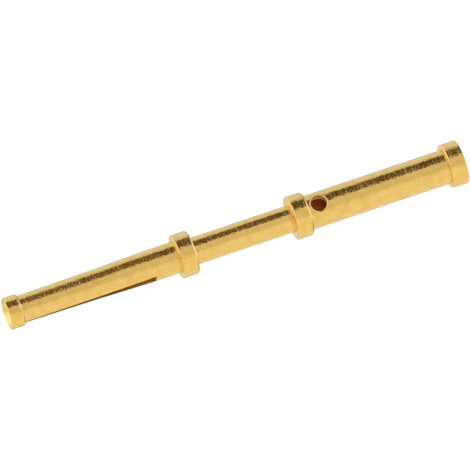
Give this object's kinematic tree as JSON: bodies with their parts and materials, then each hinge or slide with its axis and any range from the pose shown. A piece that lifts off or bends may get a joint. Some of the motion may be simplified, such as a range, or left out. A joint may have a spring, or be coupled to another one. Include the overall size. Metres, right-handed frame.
{
  "type": "crimp socket contact",
  "caption": "Slim turned crimp contact, gold plated: a slotted pin socket with a headed mouth, a neck between two collars and a flanged wire barrel with an inspection hole.",
  "frame": {"origin": "centre of the rear flange's end face, where the wire goes in", "axes": "+Z along the contact from the wire end to the mouth of the socket, -Y out of the inspection hole, X along the slot between the tines"},
  "size_m": [0.0024, 0.0024, 0.025],
  "materials": {
    "gold_plate": "gold plated, fine turned, bright satin"
  },
  "bodies": {
    "root": {"socket_contact": "gold_plate"}
  },
  "joints": []
}
